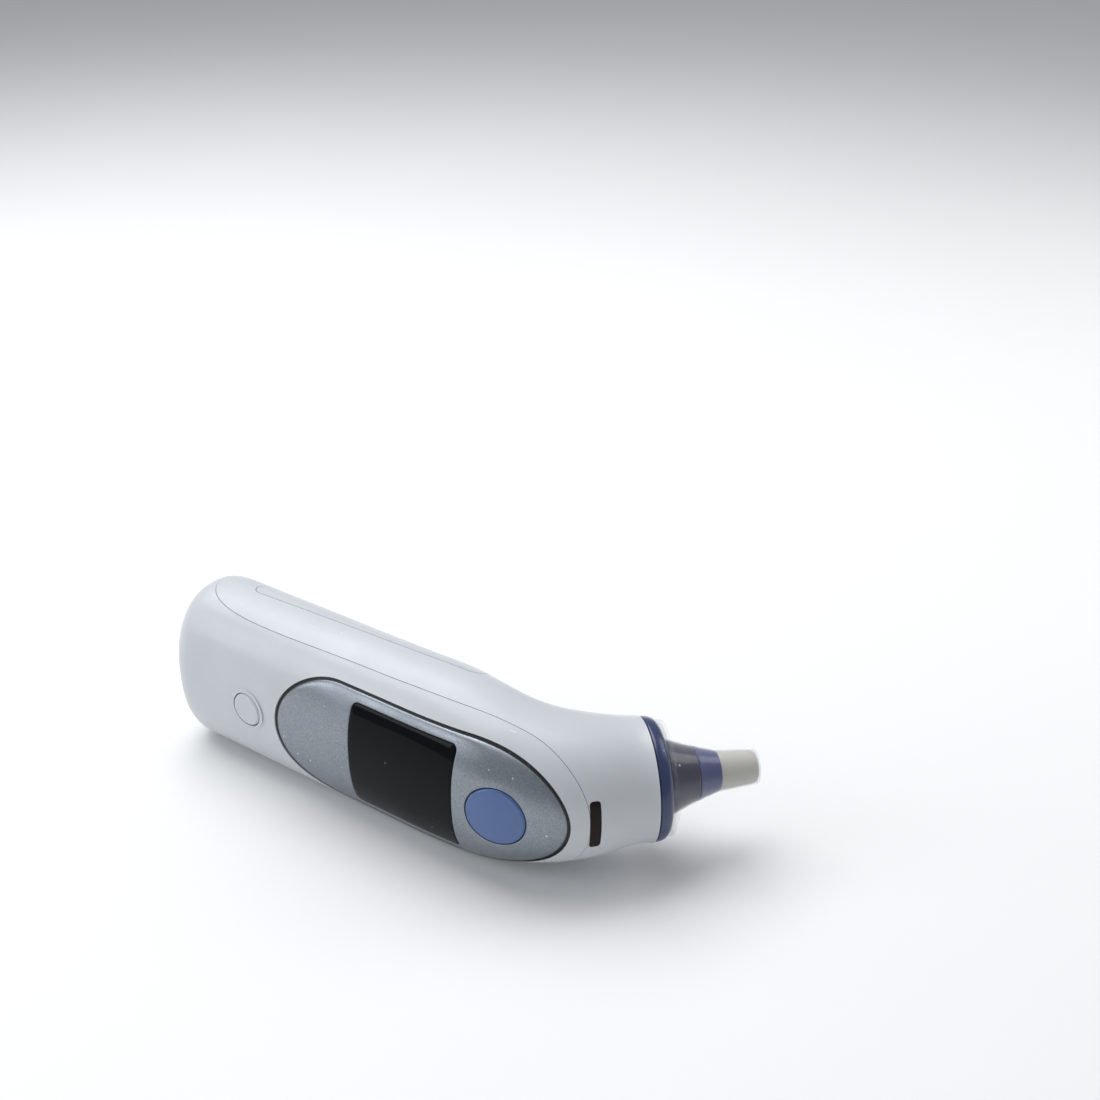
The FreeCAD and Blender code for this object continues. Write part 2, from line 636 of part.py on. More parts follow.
def make_flex():
    """A flat cable from the main board's connector up the neck to the sensor board."""
    low = BOARD_FRONT + BOARD_THICK + 0.3
    route = [vec(FLEX_START, low), vec(FLEX_START + 3, low), vec(FLEX_START + 6, low + 0.6),
             vec(FLEX_START + 8.4, low + 4), vec(FLEX_START + 8.6, low + 10)]
    route += [PROBE.multVec(vec(0, 0, -14)), PROBE.multVec(vec(0, 0, SENSOR_BOARD_BACK - 0.1))]
    middle = Part.BSplineCurve()
    middle.interpolate(Points=route, InitialTangent=vec(1, 0), FinalTangent=PROBE_AXIS)
    sides = []
    for offset in (-FLEX_THICK / 2, FLEX_THICK / 2):
        points = []
        for i in range(17):
            at = middle.FirstParameter + (middle.LastParameter - middle.FirstParameter) * i / 16
            along = middle.tangent(at)[0]
            points.append(middle.value(at) + vec(-along.y, along.x) * offset)
        side = Part.BSplineCurve()
        side.interpolate(points)
        sides.append(side)
    low_side, high_side = sides
    edges = [low_side.toShape(), Part.LineSegment(low_side.EndPoint, high_side.EndPoint).toShape(),
             high_side.toShape(), Part.LineSegment(high_side.StartPoint, low_side.StartPoint).toShape()]
    return prism(edges, -3, 3)


def make_ring():
    """The ejector ring: a visible band in front of a sleeve that runs inside the head's mouth."""
    inside = GUIDE_RADIUS + RING_FIT
    return turned([(SLEEVE_BACK, CORE_RADIUS + 0.3), (SLEEVE_BACK, SLEEVE_RADIUS), (0.3, SLEEVE_RADIUS),
                   (0.3, RING_RADIUS), (RING_FRONT - 0.9, RING_RADIUS - 0.25),
                   (RING_FRONT, RING_RADIUS - 1.1), (RING_FRONT, inside), (SLEEVE_BACK + 1, inside),
                   (SLEEVE_BACK + 1, CORE_RADIUS + 0.3)])


def make_ring_spring():
    """A wave spring, drawn as a corrugated sleeve, between the ring's sleeve and the nose."""
    start = SLEEVE_BACK + 1.05
    inner = [(start + i * WAVE_RISE, WAVE_RADII[i % 2]) for i in range(WAVES + 1)]
    return turned(inner + [(along, radius + WAVE_THICK) for along, radius in inner[::-1]])


def pin_rod(radius, a0, a1):
    return on_probe(Part.makeCylinder(radius, a1 - a0, vec(PIN_OUT, 0, a0)))


def make_pin():
    return pin_rod(PIN_RADIUS, 0.1, FLANGE_BACK - 0.3)


def make_cover():
    """The thin clear cover: a flat flange, a wall that follows the nose, and a closed film at the end."""
    inner = [(a, r + COVER_GAP) for a, r in NOSE if a > FLANGE_BACK]
    inner = [(FLANGE_BACK, inner[0][1] + 0.3)] + inner + [(TIP_END, TIP_END_RADIUS + COVER_GAP)]
    outer = [(a, r + COVER_THICK) for a, r in inner if a > FLANGE_BACK + FLANGE_THICK]
    film = TIP_END + COVER_GAP
    end = film + COVER_THICK
    profile = inner + [(film, TIP_END_RADIUS - 0.3), (film, 0), (end, 0), (end, TIP_END_RADIUS)]
    front = FLANGE_BACK + FLANGE_THICK
    profile += outer[::-1] + [(front, outer[0][1] + 0.25), (front, FLANGE_RADIUS - 0.6),
                              (front + 0.3, FLANGE_RADIUS - 0.3), (front + 0.1, FLANGE_RADIUS),
                              (FLANGE_BACK, FLANGE_RADIUS)]
    return turned(profile)


# ---- everything -----------------------------------------------------------------------------------

def make_parts():
    front, rear = make_shells()
    return {
        "front_shell": front,
        "rear_shell": rear,
        "battery_door": make_door(),
        "display_panel": make_panel(),
        "panel_gasket": make_gasket(),
        "display_window": make_window(),
        "start_button": make_button(START_X, START_RADIUS, START_PROUD, 4.6),
        "start_plunger": make_plunger(START_X),
        "start_switch": make_switch(START_X),
        "memory_button": make_button(MEMORY_X, MEMORY_RADIUS, MEMORY_PROUD, 2.4),
        "memory_plunger": make_plunger(MEMORY_X),
        "memory_switch": make_switch(MEMORY_X),
        "status_lens": make_lens(),
        "status_light": make_light(),
        "main_board": make_board(),
        "board_chips": make_chips(),
        "lcd_module": make_lcd(),
        "lcd_frame": make_lcd_frame(),
        "buzzer": make_buzzer(),
        "battery_tray": make_tray(),
        "battery_left": make_cell(1),
        "battery_right": make_cell(-1),
        "battery_contacts": make_contacts(),
        "battery_springs": make_cell_springs(),
        "shell_screws": make_shell_screws(),
        "nose_carrier": make_carrier(),
        "nose_gasket": make_nose_gasket(),
        "nose_screws": make_nose_screws(),
        "probe_nose": make_nose(),
        "nose_band": make_band(),
        "probe_tip": make_tip(),
        "tip_window": make_tip_window(),
        "waveguide_tube": make_waveguide(),
        "sensor_barrel": make_barrel(),
        "sensor_can": make_sensor_can(),
        "sensor_board": make_sensor_board(),
        "flex_cable": make_flex(),
        "ejector_ring": make_ring(),
        "ejector_spring": make_ring_spring(),
        "cover_detector_pin": make_pin(),
        "probe_cover": make_cover(),
    }


def origin(parts):
    """The point under the middle of the box around the whole device."""
    around = Part.makeCompound(list(parts.values())).optimalBoundingBox(False, False)
    return vec(around.Center.x, around.Center.y, -HALF_WIDTH + LAND_CUT)


def main():
    os.makedirs("parts", exist_ok=True)
    parts = make_parts()
    shift = origin(parts) * -1
    for name, shape in parts.items():
        shape.translate(shift)
        shape.exportStep("parts/" + name + ".step")


if __name__ == "__main__":
    main()
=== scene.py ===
import math

import bmesh
import bpy
import numpy as np
from mathutils import Matrix, Vector


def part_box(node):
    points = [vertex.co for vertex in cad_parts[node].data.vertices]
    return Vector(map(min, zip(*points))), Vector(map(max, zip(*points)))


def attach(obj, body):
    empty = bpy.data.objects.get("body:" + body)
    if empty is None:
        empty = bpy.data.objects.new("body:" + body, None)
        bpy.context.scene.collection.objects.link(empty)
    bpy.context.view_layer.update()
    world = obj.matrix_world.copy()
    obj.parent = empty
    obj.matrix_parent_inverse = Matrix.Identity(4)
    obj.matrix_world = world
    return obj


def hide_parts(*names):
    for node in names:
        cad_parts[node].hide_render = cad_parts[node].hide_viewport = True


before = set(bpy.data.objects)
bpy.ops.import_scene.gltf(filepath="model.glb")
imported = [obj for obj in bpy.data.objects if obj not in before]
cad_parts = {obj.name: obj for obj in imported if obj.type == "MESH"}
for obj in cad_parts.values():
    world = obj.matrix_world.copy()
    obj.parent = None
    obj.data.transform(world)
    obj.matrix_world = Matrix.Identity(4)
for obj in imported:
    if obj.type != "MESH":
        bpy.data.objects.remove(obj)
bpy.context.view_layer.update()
print("frame loaded:", len(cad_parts), "nodes")

mm = 0.001

placing = {
    "startX": 113.2,          # along the handle, mm
    "memoryX": 34.0,
    "displayFront": 3.5,      # depth of the display module's face
    "mouth": (132.5, 35.5),   # middle of the head's round mouth
    "probeTilt": 48.0,        # degrees between handle and probe
}

startLow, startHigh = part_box("start_button")
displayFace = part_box("lcd_module")[0].y
handleOrigin = np.array([
    (startLow.x + startHigh.x) / 2 - placing["startX"] * mm,
    displayFace - placing["displayFront"] * mm,
    (startLow.z + startHigh.z) / 2,
])


# a place given in handle millimetres, moved into the frame in metres
def inFrame(points):
    return np.asarray(points, float) * mm + handleOrigin


tilt = math.radians(placing["probeTilt"])
probeSeat = (
    inFrame([placing["mouth"][0], placing["mouth"][1], 0.0]),   # centre
    np.array([math.cos(tilt), math.sin(tilt), 0.0]),            # axis
    np.array([math.sin(tilt), -math.cos(tilt), 0.0]),           # across, to the display side
    np.array([0.0, 0.0, 1.0]),                                  # side
)

meshing = {
    "mergeWithin": 2e-6,      # points closer than this become one, m
    "thinnerThan": 1e-7,      # faces thinner than this go, m
    "arcShare": 0.45,         # most of a profile's run that one rounded corner takes
}


# quads of a grid of rows x columns whose last column joins the first, numbered row by row
def gridFaces(rows, columns, start=0):
    i, j = np.meshgrid(np.arange(rows - 1), np.arange(columns), indexing="ij")
    k = (j + 1) % columns
    faces = np.stack([i * columns + j, (i + 1) * columns + j, (i + 1) * columns + k, i * columns + k], -1)
    return faces.reshape(-1, 4) + start


# several grids joined: their points one after another, and faces numbered on from grid to grid
def joinGrids(grids):
    starts = np.cumsum([0] + [grid.shape[0] * grid.shape[1] for grid in grids])
    points = np.vstack([grid.reshape(-1, 3) for grid in grids])
    faces = np.vstack([gridFaces(*grid.shape[:2], start) for grid, start in zip(grids, starts)])
    return points, faces


# makes the mesh, closes its seams and poles, turns its faces outwards and ties it to its body
def addPiece(name, grids, body, slot, replaced=None, sharp=35.0):
    points, faces = joinGrids(grids)
    mesh = bpy.data.meshes.new(name)
    mesh.from_pydata(points.tolist(), [], faces.tolist())
    work = bmesh.new()
    work.from_mesh(mesh)
    bmesh.ops.remove_doubles(work, verts=work.verts, dist=meshing["mergeWithin"])
    bmesh.ops.dissolve_degenerate(work, edges=work.edges, dist=meshing["thinnerThan"])
    bmesh.ops.recalc_face_normals(work, faces=work.faces)
    work.to_mesh(mesh)
    work.free()
    mesh.shade_smooth()
    mesh.set_sharp_from_angle(angle=math.radians(sharp))
    mesh.materials.append(finishes[slot])
    piece = bpy.data.objects.new(name, mesh)
    bpy.context.scene.collection.objects.link(piece)
    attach(piece, body)
    if replaced:
        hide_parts(replaced)
    return piece


# rounds each inner corner of an open profile: the corner gives way to an arc of a parabola
def rounded(profile, radius, steps=5):
    profile = np.asarray(profile, float)
    line = [profile[:1]]
    t = np.linspace(0, 1, steps)[:, None]
    for before, corner, after in zip(profile, profile[1:], profile[2:]):
        inLong, outLong = np.linalg.norm(corner - before), np.linalg.norm(after - corner)
        reach = min(radius, meshing["arcShare"] * inLong, meshing["arcShare"] * outLong)
        a = corner + (before - corner) / inLong * reach
        b = corner + (after - corner) / outLong * reach
        line.append((1 - t) ** 2 * a + 2 * t * (1 - t) * corner + t ** 2 * b)
    line.append(profile[-1:])
    return np.vstack(line)


# (cos, sin) pairs evenly round a circle
def circle(count):
    turn = np.linspace(0, 2 * math.pi, count, endpoint=False)
    return np.column_stack([np.cos(turn), np.sin(turn)])


# a turned surface: point = centre + along * axis + radius * (cos * across + sin * side)
def turned(along, radius, seat, columns):
    centre, axis, across, side = seat
    ray = circle(columns)
    spokes = ray[:, :1] * across + ray[:, 1:] * side
    return centre + along[..., None] * mm * axis + radius[..., None] * mm * spokes


def turnedPiece(name, profile, seat, columns, body, slot, replaced):
    along, radius = profile.T
    grid = turned(along[:, None], radius[:, None], seat, columns)
    return addPiece(name, [grid], body, slot, replaced)


def addNode(tree, kind, **values):
    node = tree.nodes.new(kind)
    for name, value in values.items():
        setattr(node, name, value)
    return node


# sockets by name, with an underscore for each space
def setInputs(node, **values):
    for name, value in values.items():
        node.inputs[name.replace("_", " ")].default_value = value
    return node


# a plain value is set on the socket, and an output is linked to it
def feed(tree, socket, value):
    if isinstance(value, (int, float, tuple)):
        socket.default_value = value
    else:
        tree.links.new(value, socket)


def maths(tree, operation, first, second=0.0, clamp=False):
    node = addNode(tree, "ShaderNodeMath", operation=operation, use_clamp=clamp)
    feed(tree, node.inputs[0], first)
    feed(tree, node.inputs[1], second)
    return node.outputs[0]


# an eased change of range: low and high of the value become newLow and newHigh
def mapped(tree, value, low, high, newLow, newHigh):
    node = addNode(tree, "ShaderNodeMapRange", interpolation_type="SMOOTHSTEP")
    for socket, number in zip(node.inputs, (value, low, high, newLow, newHigh)):
        feed(tree, socket, number)
    return node.outputs[0]


def mixColour(tree, mask, first, second):
    node = addNode(tree, "ShaderNodeMix", data_type="RGBA")
    for socket, value in zip((node.inputs[0], node.inputs[6], node.inputs[7]), (mask, first, second)):
        feed(tree, socket, value)
    return node.outputs[2]


def newGroup(name, inputs, outputs):
    group = bpy.data.node_groups.new(name, "ShaderNodeTree")
    for label, value in inputs:
        socket = group.interface.new_socket(label, in_out="INPUT", socket_type="NodeSocketFloat")
        socket.default_value = value
    for label in outputs:
        group.interface.new_socket(label, in_out="OUTPUT", socket_type="NodeSocketFloat")
    return group, addNode(group, "NodeGroupInput"), addNode(group, "NodeGroupOutput")


# the piece's own coordinates, stretched along each axis and then scaled
def scaledCoordinates(tree, scale, stretch=(1.0, 1.0, 1.0)):
    place = addNode(tree, "ShaderNodeTexCoord")
    spread = addNode(tree, "ShaderNodeVectorMath", operation="MULTIPLY")
    spread.inputs[1].default_value = stretch
    tree.links.new(place.outputs["Object"], spread.inputs[0])
    size = addNode(tree, "ShaderNodeVectorMath", operation="SCALE")
    tree.links.new(spread.outputs[0], size.inputs[0])
    feed(tree, size.inputs["Scale"], scale)
    return size.outputs[0]


def noise(tree, scale, detail, stretch=(1.0, 1.0, 1.0), roughness=0.5):
    node = setInputs(addNode(tree, "ShaderNodeTexNoise"), Scale=1.0, Detail=detail, Roughness=roughness)
    tree.links.new(scaledCoordinates(tree, scale, stretch), node.inputs["Vector"])
    return node.outputs[0]


effects = {
    "grainDetail": (3.0, 0.55), "driftDetail": (4.0, 0.6),   # detail and roughness of the noise
    "driftBand": (0.3, 0.7),
    "leastSpeck": 0.25,                                      # added to each speck's random size
    "scratchStretch": (0.4, 3.0, 3.0), "gapStretch": (1.6, 1.6, 1.6),
}


# fine grain of a moulded or painted surface, and slow drifts of tone across it
def makeGrainGroup():
    group, given, result = newGroup("surfaceGrain", [("Scale", 4000.0), ("Drift Scale", 45.0)],
                                    ["Grain", "Drift"])
    detail, roughness = effects["grainDetail"]
    fine = noise(group, given.outputs["Scale"], detail, roughness=roughness)
    detail, roughness = effects["driftDetail"]
    slow = noise(group, given.outputs["Drift Scale"], detail, roughness=roughness)
    group.links.new(fine, result.inputs["Grain"])
    group.links.new(mapped(group, slow, *effects["driftBand"], 0.0, 1.0), result.inputs["Drift"])
    return group


# scattered specks of dust: near the middle of some cells of a Voronoi pattern
def makeSpeckGroup():
    group, given, result = newGroup("dustSpecks", [("Scale", 700.0), ("Size", 0.16), ("Share", 0.12)],
                                    ["Specks"])
    cells = setInputs(addNode(group, "ShaderNodeTexVoronoi"), Scale=1.0)
    group.links.new(scaledCoordinates(group, given.outputs["Scale"]), cells.inputs["Vector"])
    parts = addNode(group, "ShaderNodeSeparateColor")
    group.links.new(cells.outputs["Color"], parts.inputs[0])
    chosen = maths(group, "LESS_THAN", parts.outputs[0], given.outputs["Share"])
    size = maths(group, "MULTIPLY", given.outputs["Size"],
                 maths(group, "ADD", parts.outputs[1], effects["leastSpeck"]))
    near = maths(group, "LESS_THAN", cells.outputs["Distance"], size)
    group.links.new(maths(group, "MULTIPLY", near, chosen), result.inputs["Specks"])
    return group


# short handling scratches: thin contour lines of a stretched noise, broken up by a second one
def makeScratchGroup():
    group, given, result = newGroup("handlingScratches",
                                    [("Scale", 60.0), ("Width", 0.006), ("Share", 0.6)], ["Scratches"])
    lines = noise(group, given.outputs["Scale"], 1.0, effects["scratchStretch"])
    level = maths(group, "ABSOLUTE", maths(group, "SUBTRACT", lines, 0.5))
    thin = maths(group, "LESS_THAN", level, given.outputs["Width"])
    gaps = noise(group, given.outputs["Scale"], 2.0, effects["gapStretch"])
    broken = maths(group, "GREATER_THAN", gaps, given.outputs["Share"])
    group.links.new(maths(group, "MULTIPLY", thin, broken), result.inputs["Scratches"])
    return group


grainGroup = makeGrainGroup()
speckGroup = makeSpeckGroup()
scratchGroup = makeScratchGroup()


def useGroup(tree, group, **values):
    return setInputs(addNode(tree, "ShaderNodeGroup", node_tree=group), **values)


def startMaterial(name, colour, roughness, **sockets):
    material = bpy.data.materials.new(name)
    material.use_nodes = True
    shader = material.node_tree.nodes["Principled BSDF"]
    setInputs(shader, Base_Color=(*colour, 1.0), Roughness=roughness, **sockets)
    material.diffuse_color = (*colour, 1.0)
    return material, material.node_tree, shader


def addBump(tree, shader, height, strength, distance):
    bump = setInputs(addNode(tree, "ShaderNodeBump"), Strength=strength, Distance=distance)
    tree.links.new(height, bump.inputs["Height"])
    tree.links.new(bump.outputs[0], shader.inputs["Normal"])


def darker(colour, share):
    return tuple(c * share for c in colour) + (1.0,)


plasticLook = {
    "driftScale": 40.0, "roughSpread": (1.12, 0.9), "bump": 0.5,
    "speckScale": 620.0, "speckTone": 0.6, "speckRough": 0.25,
    "scratchTone": 0.35, "scratchRough": 0.2,
}


# moulded plastic: grain in the normal, slow drifts of tone and gloss, dust specks and handling scratches
def plastic(name, colour, roughness, grainScale=3500.0, grainDepth=0.004, drift=0.94, dust=0.1,
            dustColour=(0.9, 0.9, 0.9, 1.0), scratch=0.0, **sockets):
    look = plasticLook
    material, tree, shader = startMaterial(name, colour, roughness, **sockets)
    grain = useGroup(tree, grainGroup, Scale=grainScale, Drift_Scale=look["driftScale"])
    tone = mixColour(tree, grain.outputs["Drift"], darker(colour, drift), (*colour, 1.0))
    high, low = look["roughSpread"]
    rough = mapped(tree, grain.outputs["Drift"], 0.0, 1.0, roughness * high, roughness * low)
    if dust:
        specks = useGroup(tree, speckGroup, Scale=look["speckScale"], Share=dust).outputs[0]
        tone = mixColour(tree, maths(tree, "MULTIPLY", specks, look["speckTone"]), tone, dustColour)
        rough = maths(tree, "ADD", rough, maths(tree, "MULTIPLY", specks, look["speckRough"]))
    if scratch:
        marks = useGroup(tree, scratchGroup, Share=1.0 - scratch).outputs[0]
        tone = mixColour(tree, maths(tree, "MULTIPLY", marks, look["scratchTone"]), tone, dustColour)
        rough = maths(tree, "ADD", rough, maths(tree, "MULTIPLY", marks, look["scratchRough"]))
    tree.links.new(tone, shader.inputs["Base Color"])
    tree.links.new(rough, shader.inputs["Roughness"])
    addBump(tree, shader, grain.outputs["Grain"], look["bump"], grainDepth * mm)
    return material


metalLook = {
    "glintBand": (0.35, 0.65), "driftScale": 60.0, "roughSpread": (1.2, 0.88), "bump": 0.4,
    "speckScale": 700.0, "speckTone": 0.7, "speckColour": (0.85, 0.86, 0.88, 1.0),
}


# metal or metallic paint: fine flakes or drawing lines in tone and normal, drifts of gloss, dust specks
def metal(name, colour, roughness, flakeScale=5000.0, stretch=(1.0, 1.0, 1.0), depth=0.004, spread=0.75,
          dust=0.05, **sockets):
    look = metalLook
    material, tree, shader = startMaterial(name, colour, roughness, **sockets)
    flakes = noise(tree, flakeScale, 2.0, stretch)
    glint = mapped(tree, flakes, *look["glintBand"], 0.0, 1.0)
    tone = mixColour(tree, glint, darker(colour, spread), (*colour, 1.0))
    drift = useGroup(tree, grainGroup, Drift_Scale=look["driftScale"])
    high, low = look["roughSpread"]
    rough = mapped(tree, drift.outputs["Drift"], 0.0, 1.0, roughness * high, roughness * low)
    if dust:
        specks = useGroup(tree, speckGroup, Scale=look["speckScale"], Share=dust).outputs[0]
        tone = mixColour(tree, maths(tree, "MULTIPLY", specks, look["speckTone"]), tone,
                         look["speckColour"])
    tree.links.new(tone, shader.inputs["Base Color"])
    tree.links.new(rough, shader.inputs["Roughness"])
    addBump(tree, shader, glint, look["bump"], depth * mm)
    return material


# one finish for each material slot of the record
def makeFinishes():
    return {
        "white": plastic("whiteShell", (0.6, 0.625, 0.655), 0.4, grainDepth=0.003, dust=0.04,
                         dustColour=(0.95, 0.95, 0.95, 1.0), scratch=0.3, Coat_Weight=0.18,
                         Coat_Roughness=0.2),
        "silver": metal("silverPaint", (0.32, 0.35, 0.39), 0.38, flakeScale=6500.0,
                        stretch=(1.0, 1.0, 0.45), spread=0.66, Metallic=0.85),
        # near-black for the parts that sit in the gaps round the panel and the buttons: painted shade of those
        # gaps
        "dark_seal": plastic("gapShadeBlack", (0.012, 0.013, 0.016), 0.55, dust=0.15,
                             dustColour=(0.12, 0.12, 0.13, 1.0)),
        "window": plastic("windowGlass", (0.003, 0.004, 0.005), 0.07, grainDepth=0.0004, dust=0.05,
                          dustColour=(0.1, 0.11, 0.12, 1.0), scratch=0.2, Specular_IOR_Level=0.1),
        "blue_button": plastic("buttonBlue", (0.075, 0.14, 0.34), 0.36, grainDepth=0.005, dust=0.05,
                               dustColour=(0.4, 0.5, 0.75, 1.0), scratch=0.2, Coat_Weight=0.3,
                               Coat_Roughness=0.2),
        "lens": plastic("lensTint", (0.014, 0.007, 0.006), 0.14, dust=0.04,
                        dustColour=(0.12, 0.09, 0.08, 1.0), Specular_IOR_Level=0.14),
        "electronics": plastic("packageBlack", (0.02, 0.021, 0.024), 0.5, dust=0.1),
        "circuit_board": plastic("boardGreen", (0.012, 0.09, 0.035), 0.38, grainScale=1500.0, dust=0.0,
                                 Coat_Weight=0.5),
        "light": plastic("diodeBody", (0.75, 0.72, 0.55), 0.3, dust=0.0),
        "display_glass": plastic("displayGlass", (0.16, 0.2, 0.17), 0.12, dust=0.0, Coat_Weight=1.0),
        "frame_plastic": plastic("frameGrey", (0.32, 0.33, 0.35), 0.45, dust=0.05),
        "black_plastic": plastic("framePolymer", (0.02, 0.02, 0.022), 0.42, dust=0.08),
        "cell": metal("cellCan", (0.6, 0.6, 0.6), 0.25, Metallic=1.0),
        "spring_steel": metal("springSteel", (0.6, 0.6, 0.61), 0.24, Metallic=1.0),
        "contact": metal("contactPlating", (0.7, 0.68, 0.62), 0.25, Metallic=1.0,
                         stretch=(1.0, 0.1, 1.0)),
        "steel": metal("platedSteel", (0.55, 0.55, 0.56), 0.28, Metallic=1.0),
        "blue_ring": plastic("ringBlue", (0.02, 0.036, 0.115), 0.3, grainDepth=0.004, dust=0.06,
                             dustColour=(0.25, 0.3, 0.5, 1.0), scratch=0.2, Coat_Weight=0.4,
                             Coat_Roughness=0.15),
        "blue_nose": plastic("noseBlue", (0.02, 0.016, 0.05), 0.3, dust=0.04, Coat_Weight=0.4),
        "blue_band": plastic("bandBlue", (0.055, 0.066, 0.2), 0.32, dust=0.04, Coat_Weight=0.4),
        "tip_white": plastic("tipCream", (0.57, 0.55, 0.5), 0.42, grainDepth=0.004, dust=0.05,
                             dustColour=(0.8, 0.78, 0.7, 1.0)),
        "tip_window": plastic("tipFilm", (0.05, 0.035, 0.02), 0.12, dust=0.0, Metallic=0.6),
        "gold": metal("tubeGold", (0.83, 0.6, 0.22), 0.2, Metallic=1.0, dust=0.0),
        "aluminium": metal("barrelAluminium", (0.7, 0.71, 0.72), 0.32, Metallic=1.0,
                           stretch=(0.3, 1.0, 1.0)),
        "flex": plastic("flexFilm", (0.42, 0.2, 0.05), 0.3, dust=0.0, Coat_Weight=0.4),
        "cover_clear": makeClearFinish(),
    }


clearLook = {
    "colour": (0.75, 0.79, 0.84), "startRough": 0.08, "coatRough": 0.04, "edgeBlend": 0.35,
    "veilBand": (0.15, 1.0), "veil": (0.03, 0.34),      # alpha where it is faced, and along its wall
    "speckScale": 500.0, "speckShare": 0.05, "speckAlpha": 0.4,
    "grainScale": 900.0, "driftScale": 120.0, "rough": (0.05, 0.16), "bump": 0.5, "depth": 0.03,
}


# thin clear plastic: nearly invisible where it is faced, milky where it is seen along its wall
def makeClearFinish():
    look = clearLook
    material, tree, shader = startMaterial("coverClear", look["colour"], look["startRough"],
                                           Coat_Weight=1.0, Coat_Roughness=look["coatRough"])
    edge = setInputs(addNode(tree, "ShaderNodeLayerWeight"), Blend=look["edgeBlend"])
    specks = useGroup(tree, speckGroup, Scale=look["speckScale"], Share=look["speckShare"]).outputs[0]
    veil = mapped(tree, edge.outputs["Facing"], *look["veilBand"], *look["veil"])
    veil = maths(tree, "ADD", veil, maths(tree, "MULTIPLY", specks, look["speckAlpha"]), True)
    tree.links.new(veil, shader.inputs["Alpha"])
    grain = useGroup(tree, grainGroup, Scale=look["grainScale"], Drift_Scale=look["driftScale"])
    rough = mapped(tree, grain.outputs["Drift"], 0.0, 1.0, *look["rough"])
    tree.links.new(rough, shader.inputs["Roughness"])
    addBump(tree, shader, grain.outputs["Drift"], look["bump"], look["depth"] * mm)
    return material


finishes = makeFinishes()
print("finishes ready:", len(finishes))

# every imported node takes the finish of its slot
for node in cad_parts.values():
    for holder in node.material_slots:
        holder.material = finishes[holder.material.name.split(".")[0]]

fitting = {
    "facing": 0.55,           # least share of a normal that points at the side
    "halfWidth": 20.0,        # z is measured in this, mm
}


# a side's height over (x, z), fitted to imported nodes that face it: Chebyshev terms of x times even powers
# of z, with the shares that least squares gives them
def fitSide(names, sunk, degreeX, degreeZ, facing=-1):
    points, heights = [], []
    for name, inset in zip(names, sunk):
        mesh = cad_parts[name].data
        mesh.calc_loop_triangles()
        place = np.zeros(len(mesh.vertices) * 3)
        mesh.vertices.foreach_get("co", place)
        corners = np.zeros(len(mesh.loop_triangles) * 3, int)
        mesh.loop_triangles.foreach_get("vertices", corners)
        normal = np.zeros(len(mesh.loop_triangles) * 3)
        mesh.loop_triangles.foreach_get("normal", normal)
        outer = normal.reshape(-1, 3)[:, 1] * facing > fitting["facing"]
        used = np.unique(corners.reshape(-1, 3)[outer])
        local = (place.reshape(-1, 3)[used] - handleOrigin) / mm
        points.append(local)
        heights.append(local[:, 1] - inset)
    points, heights = np.vstack(points), np.concatenate(heights)
    low, high = points[:, 0].min(), points[:, 0].max()

    def terms(x, z):
        u = (2 * x - low - high) / (high - low)
        v = (z / fitting["halfWidth"]) ** 2
        powers = np.stack([v ** k for k in range(degreeZ + 1)], -1)
        return np.polynomial.chebyshev.chebvander(u, degreeX)[..., None] * powers[..., None, :]

    table = terms(points[:, 0], points[:, 2]).reshape(len(points), -1)
    share = np.linalg.lstsq(table, heights, rcond=None)[0]
    worst = np.abs(table @ share - heights).max()
    print("surface fitted to", names, "within", round(float(worst), 4), "mm")

    def height(x, z):
        x, z = np.broadcast_arrays(np.asarray(x, float), np.asarray(z, float))
        return terms(x, z).reshape(x.shape + (-1,)) @ share

    return height


# rings of (x, z), each with a depth below the height, laid on a side
def layOn(height, rings, depths):
    rings = np.asarray(rings)
    x, z = rings[..., 0], rings[..., 1]
    depths = np.asarray(depths).reshape(len(rings), -1)
    return inFrame(np.stack([x, height(x, z) + depths, z], -1))


panelFront = fitSide(["display_panel", "display_window"], sunk=[0.0, 0.05], degreeX=11, degreeZ=4)
memoryFront = fitSide(["memory_button"], sunk=[-0.6], degreeX=3, degreeZ=3)

panel = {
    "start": 44.6, "chord": 102.6,            # the outline's handle end, and where the head end's curve starts
    "half": 16.5, "rounds": (19.0, 26.5),     # half width, and the length of each end's curve, mm
    "bevel": [(0.0, 0.5), (0.0, 0.34), (0.12, 0.18), (0.55, 0.05), (0.95, 0.0), (1.25, 0.0)],   # in, down
    "holeLip": [(0.3, 0.0), (0.12, 0.03), (0.0, 0.14), (0.0, 0.5)],                             # out, down
    "thick": 1.05, "sharp": 50.0,
    "window": (69.2, 101.6, 14.4, 1.6),       # its two ends, half width and corner
    "windowGap": 0.1,
    "button": 7.75, "dish": 0.16, "dishWide": 2.4,
    "counts": (300, 61, 150),                 # points along the handle end, the chord and the head end
    "rows": 16,
}
windowMiddle = np.array([(panel["window"][0] + panel["window"][1]) / 2, 0.0])
startMiddle = np.array([placing["startX"], 0.0])


